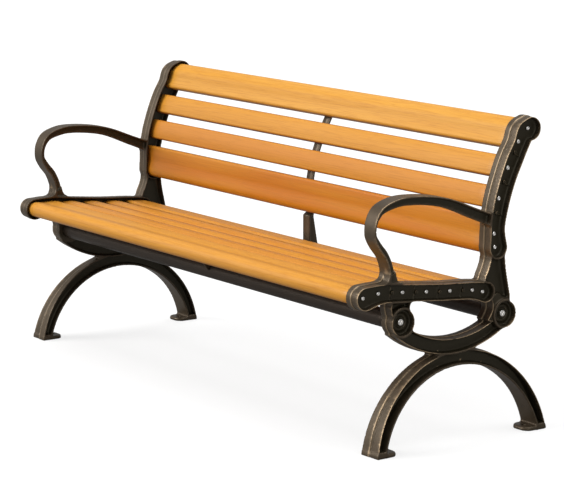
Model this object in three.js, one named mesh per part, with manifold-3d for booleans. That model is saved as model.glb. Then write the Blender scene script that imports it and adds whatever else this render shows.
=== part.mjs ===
// Garden bench: two cast end frames carry five seat slats and four back slats, two round
// stretchers hold the frames apart, and a centre support stops the slats from sagging.
// X runs along the length, the front faces -Y, +Z is up, and the feet stand on z = 0.
import * as THREE from "three";
import { mergeVertices } from "three/addons/utils/BufferGeometryUtils.js";
import Module from "manifold-3d";

const wasm = await Module();
wasm.setup();

// ---- driving dimensions, millimetres ----
const slatLength = 1500;
const slatThickness = 24;
const narrowWidth = 54;
const slatCrown = 2.5;
const slatEdgeRadius = 4;
const rollLength = 34; // distance over which a wide slat swells into its roll

const webThickness = 7; // plate that the slat ends butt against
const lipDepth = 18; // inboard flange, beside the slats
const recessDepth = 17.5; // outboard flange
const legFlare = 20; // how much further out the frame reaches at its feet
const flareHeight = 200; // the flare starts this high
const rim = 5; // wall around every pocket

const footSpan = 508; // front to back over the legs, at the ground
const archRise = 185; // top of the arch opening
const archCrown = 37; // metal above it
const legWidth = 26.5; // metal in each leg at the ground
const saddleBand = 39; // depth of the curved band that joins the bosses
const saddleRadius = 277; // underside of that band
const saddleSink = 9; // how far the band sinks into the arch
const archSetback = 16; // arch centre behind the lowest point of the band

const footLength = 38; // tab beyond the leg
const footThickness = 10;
const footCorner = 16;
const footHeel = 4; // how far the foot's back edge lies inside the leg's outer face
const anchorHole = 10;

const bossRadius = 34.5;
const bossRim = 4.5;
const stretcherDiameter = 44;
const stretcherWall = 3;
const plugLength = 25;
const boltDiameter = 10;
const boltLength = 40; // past the web
const boltHeadDiameter = 17;
const boltHeadHeight = 7;

const screwDiameter = 5;
const screwLength = 30; // past the web
const screwHeadDiameter = 11;
const screwHeadHeight = 3.6;
const supportScrewHeadHeight = 2.4;
const headRim = 0.45; // share of a head's height that is straight
const headCrown = 0.6; // share of a head's radius that is flat on top
const slatScrewPitch = 44; // front seat slat and top back slat
const shortScrewPitch = 32; // rear seat slat and bottom back slat

const seatPitch = 69.7;
const firstSeatGap = 78.7; // along the seat curve, from the middle of the nose
const backPitch = 74.5;
const firstBackGap = 78.5; // along the back curve, from the middle of the lower lobe
const seatGap = 15.7; // open width between two seat slats
const backGap = 20.5;

const supportWidth = 30;
const supportFlange = 5;
const supportRib = 6;
const supportRibDepth = 14; // from the face of the flange to the back edge of the rib
const supportTuck = 14; // the post leaves the lower roll of the back this far past the swell
const supportShy = 6; // the seat's flange stops this far short of a roll
const supportScrewDiameter = 4;
const supportScrewBite = 14; // into the slat
const supportScrewOffset = 9; // beside the rib
const supportScrewInset = 16; // from the plain edge of a wide slat

const gap = 0.3; // between pieces that touch
const endGap = 0.5; // slat end to web
const slatRollClearance = 4; // roll to the wall of the pocket
const holeClearance = 0.6; // added to a diameter
const tipClearance = 2; // left in a blind hole past the tip of its screw
const restClearance = 1.2; // straight slats over the curved line of the support

// ---- end frame outlines: [y, z, half width], measured from the lowest point of the band ----
const seatStations = [
  [-256, 159, 29],
  [-212, 165, 24.5],
  [-138, 160, 22.5],
  [-38, 150.5, 22],
  [62, 142.5, 23],
  [94, 135, 26],
];
const backStations = [
  [129, 237, 28],
  [126.5, 267, 24],
  [127, 292, 23.5],
  [134, 332, 25],
  [144, 367, 25.5],
  [158, 405, 26],
  [175, 442, 27],
  [194, 477, 26],
  [207, 503, 29],
  [224, 510, 30],
];
const armStations = [
  [-178, 180, 13],
  [-180, 217, 11],
  [-193, 249.5, 10],
  [-213, 275, 9.5],
  [-225.5, 298, 8.5],
  [-223, 328, 9],
  [-206.5, 353, 10.5],
  [-175.5, 365.5, 11.5],
  [-138, 370.5, 11.5],
  [-33.5, 359, 12],
  [61, 324, 13],
  [116, 303, 14],
];
const frontBoss = [-150, 92];
const rearBoss = [153, 77];
const spineOutline = [
  [107, 225],
  [101.5, 197],
  [83, 162],
  [106, 122],
  [114, 100],
  [108, 82],
  [92, 62],
  [153, 60],
  [171, 109],
  [162, 150],
  [154, 187],
  [150, 225],
];
const neckOutline = [
  [-193, 152],
  [-120, 152],
  [-129, 140],
  [-130, 92],
  [-182, 92],
];

// ---- centre support outlines: [y, z], measured from the same point ----
const postOutline = [
  [150, 252],
  [152, 232],
  [144, 217],
  [131, 207],
  [131, 124],
  [118, 112],
  [84, 112],
];
const heelOutline = [
  [60, 98],
  [112, 84],
  [182, 84],
  [166, 135],
  [154, 203],
  [162, 240],
];
const noseOutline = [
  [-204, 138],
  [-176, 96],
  [-122, 96],
  [-110, 120],
];

// ---- values that follow from them ----
const webIn = slatLength / 2 + endGap;
const webOut = webIn + webThickness;
const inboard = webIn - lipDepth;
const outboard = webOut + recessDepth;
const saddleZ = archRise + archCrown - saddleSink;
const saddleY = -archSetback;
const halfSlat = slatThickness / 2;
const screwHoleRadius = (screwDiameter + holeClearance) / 2;
const boltHoleRadius = (boltDiameter + holeClearance) / 2;
const supportHoleRadius = (supportScrewDiameter + holeClearance) / 2;
const overrun = 20; // how far a cutter reaches past the metal
const curveSteps = 400; // chords that measure a curve's length
const capSteps = 8; // chords in a rounded band end
const bandSteps = 14; // chords along a band
const armSteps = 20;
const wideSteps = 12; // chords along a wide slat
const supportSteps = 16;
const behindNose = 11; // points under the seat that the rib backs, counted from the rear
const saddleSegments = 14;
const archSegments = 18;
const holeSides = 8;
const boltSides = 16;
const screwSides = 10;
const tubeSides = 32;
const bossSides = 24;

// ---- solids ----
// Shapes are drawn with x = row Y and y = row Z, and extruded along row X.
const alongX = new THREE.Matrix4().makeBasis(
  new THREE.Vector3(0, 1, 0),
  new THREE.Vector3(0, 0, 1),
  new THREE.Vector3(1, 0, 0),
);

function solid(geometry) {
  const bare = geometry.index ? geometry.toNonIndexed() : geometry.clone();
  bare.deleteAttribute("normal");
  bare.deleteAttribute("uv");
  const merged = mergeVertices(bare, 1e-4);
  return new wasm.Manifold(
    new wasm.Mesh({
      numProp: 3,
      vertProperties: new Float32Array(merged.attributes.position.array),
      triVerts: new Uint32Array(merged.index.array),
    }),
  );
}

function geometryOf(manifold) {
  const mesh = manifold.getMesh();
  const geometry = new THREE.BufferGeometry();
  geometry.setAttribute("position", new THREE.BufferAttribute(mesh.vertProperties, 3));
  geometry.setIndex(new THREE.BufferAttribute(mesh.triVerts, 1));
  const facets = geometry.toNonIndexed();
  facets.computeVertexNormals();
  return facets;
}

function prism(shape, x0, x1, curveSegments = 10) {
  const geometry = new THREE.ExtrudeGeometry(shape, {
    depth: x1 - x0,
    bevelEnabled: false,
    curveSegments,
  });
  geometry.applyMatrix4(alongX);
  geometry.translate(x0, 0, 0);
  return solid(geometry);
}

function rodAlongX(y, z, radius, x0, x1, sides = bossSides) {
  const geometry = new THREE.CylinderGeometry(radius, radius, x1 - x0, sides);
  geometry.rotateZ(-Math.PI / 2);
  geometry.translate((x0 + x1) / 2, y, z);
  return solid(geometry);
}

function shapeOf(points) {
  return new THREE.Shape(points.map(([y, z]) => new THREE.Vector2(y, z)));
}

// A curve through stations, which carries the half width as its third coordinate.
function stationCurve(stations) {
  const points = stations.map(
    ([y, z, half]) => new THREE.Vector3(saddleY + y, saddleZ + z, half),
  );
  return new THREE.CatmullRomCurve3(points, false, "centripetal");
}

// A point and its left normal on a station curve, at a share t of its parameter.
function frameAt(curve, t) {
  const point = curve.getPoint(t);
  const tangent = curve.getTangent(t);
  const length = Math.hypot(tangent.x, tangent.y);
  return {
    y: point.x,
    z: point.y,
    half: point.z,
    ty: tangent.x / length,
    tz: tangent.y / length,
  };
}

// The outline of a band of changing width: up the right side, round the end, back down the left.
function bandOutline(frames, inset = 0, roundStart = true, roundEnd = true) {
  const side = (f, sign) => [
    f.y + sign * f.tz * (f.half - inset),
    f.z - sign * f.ty * (f.half - inset),
  ];
  const cap = (f, start) => {
    const points = [];
    for (let i = 1; i < capSteps; i++) {
      const a = start + (Math.PI * i) / capSteps;
      const r = f.half - inset;
      points.push([
        f.y + r * (Math.cos(a) * f.tz + Math.sin(a) * f.ty),
        f.z + r * (-Math.cos(a) * f.ty + Math.sin(a) * f.tz),
      ]);
    }
    return points;
  };
  const last = frames[frames.length - 1];
  const outline = frames.map((f) => side(f, 1));
  if (roundEnd) outline.push(...cap(last, 0));
  outline.push(...frames.map((f) => side(f, -1)).reverse());
  if (roundStart) outline.push(...cap(frames[0], Math.PI));
  return outline;
}

function band(stations, inset = 0, steps = bandSteps) {
  const curve = stationCurve(stations);
  const frames = [];
  for (let i = 0; i <= steps; i++) frames.push(frameAt(curve, i / steps));
  return shapeOf(bandOutline(frames, inset));
}

// Parameter of the point that lies a distance s along a station curve, seen in the y, z plane.
function parameterAt(curve, s) {
  let run = 0;
  let before = curve.getPoint(0);
  for (let i = 1; i <= curveSteps; i++) {
    const here = curve.getPoint(i / curveSteps);
    const step = Math.hypot(here.x - before.x, here.y - before.y);
    if (run + step >= s) return (i - 1 + (s - run) / step) / curveSteps;
    run += step;
    before = here;
  }
  return 1;
}

function lengthOf(curve) {
  let run = 0;
  for (let i = 1; i <= curveSteps; i++) {
    const a = curve.getPoint((i - 1) / curveSteps);
    const b = curve.getPoint(i / curveSteps);
    run += Math.hypot(b.x - a.x, b.y - a.y);
  }
  return run;
}

function sector(cy, cz, inner, outer, from, to) {
  const shape = new THREE.Shape();
  shape.absarc(cy, cz, outer, from, to, false);
  shape.absarc(cy, cz, inner, to, from, true);
  shape.closePath();
  return shape;
}

// ---- end frame ----
// Two circles through the feet and the crown give a leg that thickens upwards.
function archCircle(halfSpan, rise) {
  const radius = (halfSpan ** 2 + rise ** 2) / (2 * rise);
  return { radius, z: rise - radius };
}

const archOuter = archCircle(footSpan / 2, archRise + archCrown);
const archInner = archCircle(footSpan / 2 - legWidth, archRise);

function archShape(inset) {
  const outer = archOuter.radius - inset;
  const inner = archInner.radius + inset;
  const floor = inset ? footThickness : 0;
  const outerStart = Math.asin((floor - archOuter.z) / outer);
  const innerStart = Math.asin((floor - archInner.z) / inner);
  const shape = new THREE.Shape();
  shape.absarc(0, archOuter.z, outer, outerStart, Math.PI - outerStart, false);
  shape.absarc(0, archInner.z, inner, Math.PI - innerStart, innerStart, true);
  shape.closePath();
  return shape;
}

function saddleShape(inset) {
  const cz = saddleZ + saddleRadius;
  const reach = (boss) => Math.atan2(boss[1] - saddleRadius, boss[0]);
  return sector(
    saddleY,
    cz,
    saddleRadius - saddleBand + inset,
    saddleRadius - inset,
    reach(frontBoss),
    reach(rearBoss),
  );
}

function shifted(points) {
  return shapeOf(points.map(([y, z]) => [saddleY + y, saddleZ + z]));
}

// One foot: a plate under the leg with a rounded tab that points under the bench.
function foot(side) {
  const outerY = footSpan / 2;
  const tip = outerY - legWidth - footLength;
  const back = outerY - footHeel;
  const x0 = inboard;
  const x1 = outboard + legFlare;
  const r = footCorner;
  const plate = new THREE.Shape();
  plate.moveTo(x0, back);
  plate.lineTo(x0, tip + r);
  plate.absarc(x0 + r, tip + r, r, Math.PI, Math.PI * 1.5, false);
  plate.lineTo(x1 - r, tip);
  plate.absarc(x1 - r, tip + r, r, Math.PI * 1.5, Math.PI * 2, false);
  plate.lineTo(x1, back);
  plate.closePath();
  const hole = new THREE.Path();
  hole.absarc((x0 + x1) / 2, tip + footLength / 2, anchorHole / 2, 0, Math.PI * 2, true);
  plate.holes.push(hole);
  const geometry = new THREE.ExtrudeGeometry(plate, {
    depth: footThickness,
    bevelEnabled: false,
    curveSegments: holeSides,
  });
  if (side < 0) {
    geometry.rotateZ(Math.PI);
    geometry.translate(x0 + x1, 0, 0);
  }
  return solid(geometry);
}

// A block whose outer face leans out below flareHeight, to trim the legs.
function flareBlock() {
  const top = 2000;
  const shape = new THREE.Shape();
  shape.moveTo(inboard, 0);
  shape.lineTo(outboard + legFlare, 0);
  shape.lineTo(outboard + legFlare, footThickness);
  shape.lineTo(outboard, flareHeight);
  shape.lineTo(outboard, top);
  shape.lineTo(inboard, top);
  shape.closePath();
  const depth = footSpan * 4;
  const geometry = new THREE.ExtrudeGeometry(shape, { depth, bevelEnabled: false });
  geometry.rotateX(Math.PI / 2);
  geometry.translate(0, depth / 2, 0);
  return solid(geometry);
}

function endFrame() {
  const far = outboard + legFlare + overrun;
  const at = ([y, z]) => [saddleY + y, saddleZ + z];
  let body = prism(archShape(0), inboard, far, archSegments);
  const add = (piece) => {
    body = body.add(piece);
  };
  const cut = (piece) => {
    body = body.subtract(piece);
  };
  add(prism(saddleShape(0), inboard, outboard, saddleSegments));
  add(prism(band(seatStations), inboard, outboard));
  add(prism(band(backStations), inboard, outboard));
  add(prism(band(armStations, 0, armSteps), inboard, outboard));
  add(prism(shifted(spineOutline), inboard, outboard));
  add(prism(shifted(neckOutline), inboard, outboard));
  for (const boss of [frontBoss, rearBoss]) {
    add(rodAlongX(...at(boss), bossRadius, inboard, outboard));
  }

  // Pockets on both faces leave the web between them.
  const faces = [
    [inboard - overrun, webIn],
    [webOut, far],
  ];
  for (const [x0, x1] of faces) {
    const bosses = [frontBoss, rearBoss].map((boss) => rodAlongX(...at(boss), bossRadius, x0, x1));
    const seat = prism(band(seatStations, rim), x0, x1);
    const back = prism(band(backStations, rim), x0, x1);
    const seatSolid = prism(band(seatStations), x0, x1);
    const backSolid = prism(band(backStations), x0, x1);
    const saddleSolid = prism(saddleShape(0), x0, x1, saddleSegments);
    const saddle = prism(saddleShape(rim), x0, x1, saddleSegments);
    const arch = prism(archShape(rim), x0, x1, archSegments).subtract(saddleSolid);
    const spine = prism(shifted(insetOutline(spineOutline, rim)), x0, x1)
      .subtract(seatSolid)
      .subtract(backSolid);
    const neck = prism(shifted(insetOutline(neckOutline, rim)), x0, x1).subtract(seatSolid);
    const arm = prism(band(armStations, rim, armSteps), x0, x1)
      .subtract(seatSolid)
      .subtract(backSolid);
    cut(seat);
    cut(back);
    cut(bosses.reduce((rest, boss) => rest.subtract(boss), saddle));
    cut(arch);
    cut(bosses.reduce((rest, boss) => rest.subtract(boss), spine));
    cut(bosses.reduce((rest, boss) => rest.subtract(boss), neck));
    cut(arm);
  }
  for (const boss of [frontBoss, rearBoss]) {
    const [y, z] = at(boss);
    cut(rodAlongX(y, z, bossRadius - bossRim, webOut, far));
    cut(rodAlongX(y, z, boltHoleRadius, inboard - overrun, far, boltSides));
  }
  for (const [y, z] of slatScrewPlaces()) cut(rodAlongX(y, z, screwHoleRadius, inboard, far, holeSides));
  body = body.intersect(flareBlock());
  add(foot(1));
  add(foot(-1));
  return body;
}

// An outline with each edge moved in by a wall, corner to corner.
function insetOutline(points, wall) {
  const area = points.reduce((sum, [y, z], i) => {
    const [yn, zn] = points[(i + 1) % points.length];
    return sum + y * zn - yn * z;
  }, 0);
  const turn = Math.sign(area);
  return points.map(([y, z], i) => {
    const [ya, za] = points[(i + points.length - 1) % points.length];
    const [yb, zb] = points[(i + 1) % points.length];
    const la = Math.hypot(y - ya, z - za);
    const lb = Math.hypot(yb - y, zb - z);
    const na = [(-turn * (z - za)) / la, (turn * (y - ya)) / la];
    const nb = [(-turn * (zb - z)) / lb, (turn * (yb - y)) / lb];
    const share = wall / (1 + na[0] * nb[0] + na[1] * nb[1]);
    return [y + (na[0] + nb[0]) * share, z + (na[1] + nb[1]) * share];
  });
}

// ---- slats ----
const seatCurve = stationCurve(seatStations);
const backCurve = stationCurve(backStations);
const seatRun = lengthOf(seatCurve);
const backRun = lengthOf(backCurve);

// A straight board with a crowned face, centred a distance s along a curve.
function narrowSlat(curve, s) {
  const f = frameAt(curve, parameterAt(curve, s));
  const w = narrowWidth / 2;
  const h = halfSlat;
  const r = slatEdgeRadius;
  const section = new THREE.Shape();
  section.moveTo(-w + r, -h);
  section.lineTo(w - r, -h);
  section.absarc(w - r, -h + r, r, -Math.PI / 2, 0, false);
  section.absarc(w - r, h - slatCrown - r, r, 0, Math.PI / 2, false);
  section.quadraticCurveTo(0, h + slatCrown, -w + r, h - slatCrown);
  section.absarc(-w + r, h - slatCrown - r, r, Math.PI / 2, Math.PI, false);
  section.absarc(-w + r, -h + r, r, Math.PI, Math.PI * 1.5, false);
  const outline = section
    .getPoints(4)
    .map((p) => [f.y + p.x * f.ty - p.y * f.tz, f.z + p.x * f.tz + p.y * f.ty]);
  return { outline, screws: [[f.y, f.z]], supportAt: s, curve };
}

// A wide board that follows the curve and swells into a roll at the curve's own end.
function wideSlat(curve, run, plainEnd, rollAtStart, screwPitch) {
  const rollAt = rollAtStart ? 0 : run;
  const away = rollAtStart ? 1 : -1;
  const reach = Math.abs(plainEnd - rollAt);
  const rollRadius = curve.getPoint(rollAtStart ? 0 : 1).z - rim - slatRollClearance;
  const distances = [];
  for (let i = 0; i < wideSteps; i++) {
    distances.push(((reach - slatEdgeRadius) * i) / (wideSteps - 1));
  }
  distances.push(reach);
  const frames = distances.map((d) => {
    const f = frameAt(curve, parameterAt(curve, rollAt + away * d));
    const swell = THREE.MathUtils.smoothstep(rollLength - d, 0, rollLength);
    f.half = halfSlat + (rollRadius - halfSlat) * swell;
    if (d === reach) f.half -= slatEdgeRadius;
    return f;
  });
  if (!rollAtStart) frames.reverse();
  const screws = [0, screwPitch].map((d) => {
    const f = frameAt(curve, parameterAt(curve, rollAt + away * d));
    return [f.y, f.z];
  });
  const supportAt = plainEnd - away * supportScrewInset;
  return { outline: bandOutline(frames, 0, rollAtStart, !rollAtStart), screws, supportAt, curve };
}

function slatPlans() {
  const seatEdge = (i, side) => firstSeatGap + i * seatPitch + (side * seatGap) / 2;
  const backEdge = (i, side) => firstBackGap + i * backPitch + (side * backGap) / 2;
  return {
    seat_slat_front: wideSlat(seatCurve, seatRun, seatEdge(0, -1), true, slatScrewPitch),
    seat_slat_2: narrowSlat(seatCurve, firstSeatGap + seatPitch * 0.5),
    seat_slat_3: narrowSlat(seatCurve, firstSeatGap + seatPitch * 1.5),
    seat_slat_4: narrowSlat(seatCurve, firstSeatGap + seatPitch * 2.5),
    seat_slat_rear: wideSlat(seatCurve, seatRun, seatEdge(3, 1), false, shortScrewPitch),
    back_slat_bottom: wideSlat(backCurve, backRun, backEdge(0, -1), true, shortScrewPitch),
    back_slat_2: narrowSlat(backCurve, firstBackGap + backPitch * 0.5),
    back_slat_3: narrowSlat(backCurve, firstBackGap + backPitch * 1.5),
    back_slat_top: wideSlat(backCurve, backRun, backEdge(2, 1), false, slatScrewPitch),
  };
}

const plans = slatPlans();

function slatScrewPlaces() {
  return Object.values(plans).flatMap((plan) => plan.screws);
}

// Where a support screw stands: the point on the slat's centre line and the way to its face.
function supportScrewPlace(plan) {
  const f = frameAt(plan.curve, parameterAt(plan.curve, plan.supportAt));
  return { y: f.y, z: f.z, ny: -f.tz, nz: f.ty };
}

// A round bar along a normal in the y, z plane, between two distances from a point.
function rodAlongNormal(place, radius, from, to) {
  const geometry = new THREE.CylinderGeometry(radius, radius, to - from, holeSides);
  geometry.translate(0, (from + to) / 2, 0);
  geometry.rotateX(Math.atan2(place.nz, place.ny));
  geometry.translate(supportScrewOffset, place.y, place.z);
  return solid(geometry);
}

function slat(plan) {
  const half = slatLength / 2;
  let board = prism(shapeOf(plan.outline), -half, half);
  for (const [y, z] of plan.screws) {
    const depth = screwLength + tipClearance;
    board = board.subtract(rodAlongX(y, z, screwHoleRadius, half - depth, half + overrun, holeSides));
    board = board.subtract(rodAlongX(y, z, screwHoleRadius, -half - overrun, depth - half, holeSides));
  }
  const mouth = -halfSlat - overrun;
  const bottom = supportScrewBite + tipClearance - halfSlat;
  return board.subtract(rodAlongNormal(supportScrewPlace(plan), supportHoleRadius, mouth, bottom));
}

// ---- stretchers and their fixings ----
function stretcher(boss) {
  const end = inboard - gap;
  const [y, z] = [saddleY + boss[0], saddleZ + boss[1]];
  const radius = stretcherDiameter / 2;
  const bore = rodAlongX(y, z, radius - stretcherWall, -end - overrun, end + overrun, tubeSides);
  return rodAlongX(y, z, radius, -end, end, tubeSides).subtract(bore);
}

function plug() {
  const body = rodAlongX(0, 0, stretcherDiameter / 2 - stretcherWall - gap, -plugLength, 0);
  return body.subtract(rodAlongX(0, 0, boltHoleRadius, -plugLength - overrun, overrun, boltSides));
}

// A pan headed fastener along X: the head's underside is at x = 0 and the shank runs to -X.
function fastener(shankRadius, shankLength, headRadius, headHeight, sides) {
  const profile = [
    [0, -shankLength],
    [shankRadius, -shankLength],
    [shankRadius, 0],
    [headRadius, 0],
    [headRadius, headHeight * headRim],
    [headRadius * headCrown, headHeight],
    [0, headHeight],
  ].map(([r, x]) => new THREE.Vector2(r, x));
  const geometry = new THREE.LatheGeometry(profile, sides);
  geometry.rotateZ(-Math.PI / 2);
  return solid(geometry);
}

// ---- centre support ----
// The line that the slats rest on: down the back, round the lower roll, forward under the seat.
function restLine(curve, from, to) {
  const points = [];
  for (let i = 0; i <= supportSteps; i++) {
    const f = frameAt(curve, parameterAt(curve, from + ((to - from) * i) / supportSteps));
    const drop = halfSlat + restClearance;
    points.push([f.y + f.tz * drop, f.z - f.ty * drop]);
  }
  return points;
}

function openOffset(points, distance) {
  return points.map(([y, z], i) => {
    const [ya, za] = points[Math.max(i - 1, 0)];
    const [yb, zb] = points[Math.min(i + 1, points.length - 1)];
    const before = [y - ya, z - za];
    const after = [yb - y, zb - z];
    const normals = [before, after]
      .filter(([dy, dz]) => Math.hypot(dy, dz) > 0)
      .map(([dy, dz]) => [-dz / Math.hypot(dy, dz), dy / Math.hypot(dy, dz)]);
    const sum = normals.reduce((s, n) => [s[0] + n[0], s[1] + n[1]], [0, 0]);
    const size = Math.hypot(...sum) / normals.length;
    const share = distance / (normals.length * size * size);
    return [y + sum[0] * share, z + sum[1] * share];
  });
}

function centreSupport() {
  const at = ([y, z]) => [saddleY + y, saddleZ + z];
  const upper = restLine(backCurve, backRun - rollLength, rollLength + supportTuck);
  const rearStart = seatRun - rollLength + supportShy;
  const lower = restLine(seatCurve, rearStart, rollLength + supportShy);
  const front = [...upper, ...postOutline.map(at), ...lower];
  const flange = shapeOf([...front, ...openOffset(front, supportFlange).reverse()]);
  const rear = [
    ...openOffset(lower.slice(0, behindNose), supportRibDepth).reverse(),
    ...heelOutline.map(at),
    ...openOffset(upper, supportRibDepth).reverse(),
  ];
  const web = shapeOf([...front, ...noseOutline.map(at), ...rear]);
  let body = prism(flange, -supportWidth / 2, supportWidth / 2);
  body = body.add(prism(web, -supportRib / 2, supportRib / 2));
  for (const boss of [frontBoss, rearBoss]) {
    const [y, z] = at(boss);
    body = body.subtract(rodAlongX(y, z, stretcherDiameter / 2 + gap, -overrun, overrun, tubeSides));
  }
  for (const plan of Object.values(plans)) {
    const from = -halfSlat - overrun;
    body = body.subtract(rodAlongNormal(supportScrewPlace(plan), supportHoleRadius, from, 0));
  }
  return body;
}

// ---- scene graph ----
const castIron = new THREE.MeshStandardMaterial({ color: 0x3a332b, roughness: 0.5, metalness: 0.7 });
const wood = new THREE.MeshStandardMaterial({ color: 0xdd9636, roughness: 0.45, metalness: 0 });
const darkSteel = new THREE.MeshStandardMaterial({ color: 0x352e2a, roughness: 0.45, metalness: 0.6 });
const brightSteel = new THREE.MeshStandardMaterial({ color: 0xc4c2bd, roughness: 0.25, metalness: 1 });

const bench = new THREE.Group();

function mesh(name, geometry, material) {
  const made = new THREE.Mesh(geometry, material);
  made.name = name;
  bench.add(made);
  return made;
}

const frameGeometry = geometryOf(endFrame());
mesh("end_frame_right", frameGeometry, castIron);
mesh("end_frame_left", frameGeometry, castIron).scale.x = -1;

for (const [name, plan] of Object.entries(plans)) mesh(name, geometryOf(slat(plan)), wood);

const plugGeometry = geometryOf(plug());
const boltShank = webOut + gap - (webIn - boltLength);
const boltGeometry = geometryOf(
  fastener(boltDiameter / 2, boltShank, boltHeadDiameter / 2, boltHeadHeight, boltSides),
);
const screwShank = gap + webThickness + endGap + screwLength;
const screwGeometry = geometryOf(
  fastener(screwDiameter / 2, screwShank, screwHeadDiameter / 2, screwHeadHeight, screwSides),
);
const ends = [
  ["right", 1],
  ["left", -1],
];
const bosses = { front: frontBoss, rear: rearBoss };

for (const [which, boss] of Object.entries(bosses)) {
  mesh(`${which}_stretcher`, geometryOf(stretcher(boss)), darkSteel);
  for (const [end, side] of ends) {
    const y = saddleY + boss[0];
    const z = saddleZ + boss[1];
    const insert = mesh(`${which}_stretcher_plug_${end}`, plugGeometry, darkSteel);
    insert.position.set(side * (inboard - gap), y, z);
    insert.rotation.z = side > 0 ? 0 : Math.PI;
    const bolt = mesh(`${which}_stretcher_bolt_${end}`, boltGeometry, brightSteel);
    bolt.position.set(side * (webOut + gap), y, z);
    bolt.rotation.z = side > 0 ? 0 : Math.PI;
  }
}

for (const [end, side] of ends) {
  slatScrewPlaces().forEach(([y, z], i) => {
    const screw = mesh(`slat_screw_${end}_${i + 1}`, screwGeometry, brightSteel);
    screw.position.set(side * (webOut + gap), y, z);
    screw.rotation.z = side > 0 ? 0 : Math.PI;
  });
}

mesh("centre_support", geometryOf(centreSupport()), darkSteel);
const supportShank = supportFlange + restClearance + gap * 2 + supportScrewBite;
const supportScrew = geometryOf(
  fastener(supportScrewDiameter / 2, supportShank, supportScrewDiameter, supportScrewHeadHeight, holeSides),
);
for (const [name, plan] of Object.entries(plans)) {
  const place = supportScrewPlace(plan);
  const back = halfSlat + restClearance + supportFlange + gap * 2;
  const screw = mesh(`support_screw_${name}`, supportScrew, brightSteel);
  screw.position.set(supportScrewOffset, place.y - place.ny * back, place.z - place.nz * back);
  screw.quaternion.setFromUnitVectors(
    new THREE.Vector3(1, 0, 0),
    new THREE.Vector3(0, -place.ny, -place.nz),
  );
}

// The origin is under the middle of the bench's box.
const box = new THREE.Box3().setFromObject(bench);
bench.position.y = -(box.min.y + box.max.y) / 2;

export default bench;
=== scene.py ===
import math

import bpy
import numpy as np
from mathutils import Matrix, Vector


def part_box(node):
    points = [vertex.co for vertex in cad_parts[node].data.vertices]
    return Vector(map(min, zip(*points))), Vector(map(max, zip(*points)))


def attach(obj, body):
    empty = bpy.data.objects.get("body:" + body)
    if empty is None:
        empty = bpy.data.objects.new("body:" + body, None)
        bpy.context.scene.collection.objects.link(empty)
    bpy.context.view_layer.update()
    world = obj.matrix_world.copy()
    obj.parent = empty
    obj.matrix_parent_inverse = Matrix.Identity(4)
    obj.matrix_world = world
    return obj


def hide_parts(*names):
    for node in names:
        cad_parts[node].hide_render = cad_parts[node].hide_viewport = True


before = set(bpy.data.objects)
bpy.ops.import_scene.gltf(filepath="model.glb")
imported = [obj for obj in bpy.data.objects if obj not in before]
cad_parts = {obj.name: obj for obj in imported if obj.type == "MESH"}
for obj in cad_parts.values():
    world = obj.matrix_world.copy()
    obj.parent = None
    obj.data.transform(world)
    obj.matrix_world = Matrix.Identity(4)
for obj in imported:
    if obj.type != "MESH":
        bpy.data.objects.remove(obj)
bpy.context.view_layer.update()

import openvdb
from mathutils import Matrix, Vector

mm = 0.001               # shapes are worked out in millimetres and become metres in the mesh


# ---- end frame outlines ----
# Stations are y, z and half width, measured from the lowest point of the curved band.
seatStations = [
    (-256, 159, 29), (-212, 165, 24.5), (-138, 160, 22.5), (-38, 150.5, 22),
    (62, 142.5, 23), (94, 135, 26),
]
backStations = [
    (129, 237, 28), (126.5, 267, 24), (127, 292, 23.5), (134, 332, 25), (144, 367, 25.5),
    (158, 405, 26), (175, 442, 27), (194, 477, 26), (207, 503, 29), (224, 510, 30),
]
armStations = [
    (-178, 180, 13), (-180, 217, 11), (-193, 249.5, 10), (-213, 275, 9.5), (-225.5, 298, 8.5),
    (-223, 328, 9), (-206.5, 353, 10.5), (-175.5, 365.5, 11.5), (-138, 370.5, 11.5), (-33.5, 359, 12),
    (61, 324, 13), (116, 303, 14),
]
spineOutline = [
    (107, 225), (101.5, 197), (83, 162), (106, 122), (114, 100), (108, 82),
    (92, 62), (153, 60), (171, 109), (162, 150), (154, 187), (150, 225),
]
neckOutline = [(-193, 152), (-120, 152), (-129, 140), (-130, 92), (-182, 92)]
frontBoss = (-150.0, 92.0)
rearBoss = (153.0, 77.0)

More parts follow.
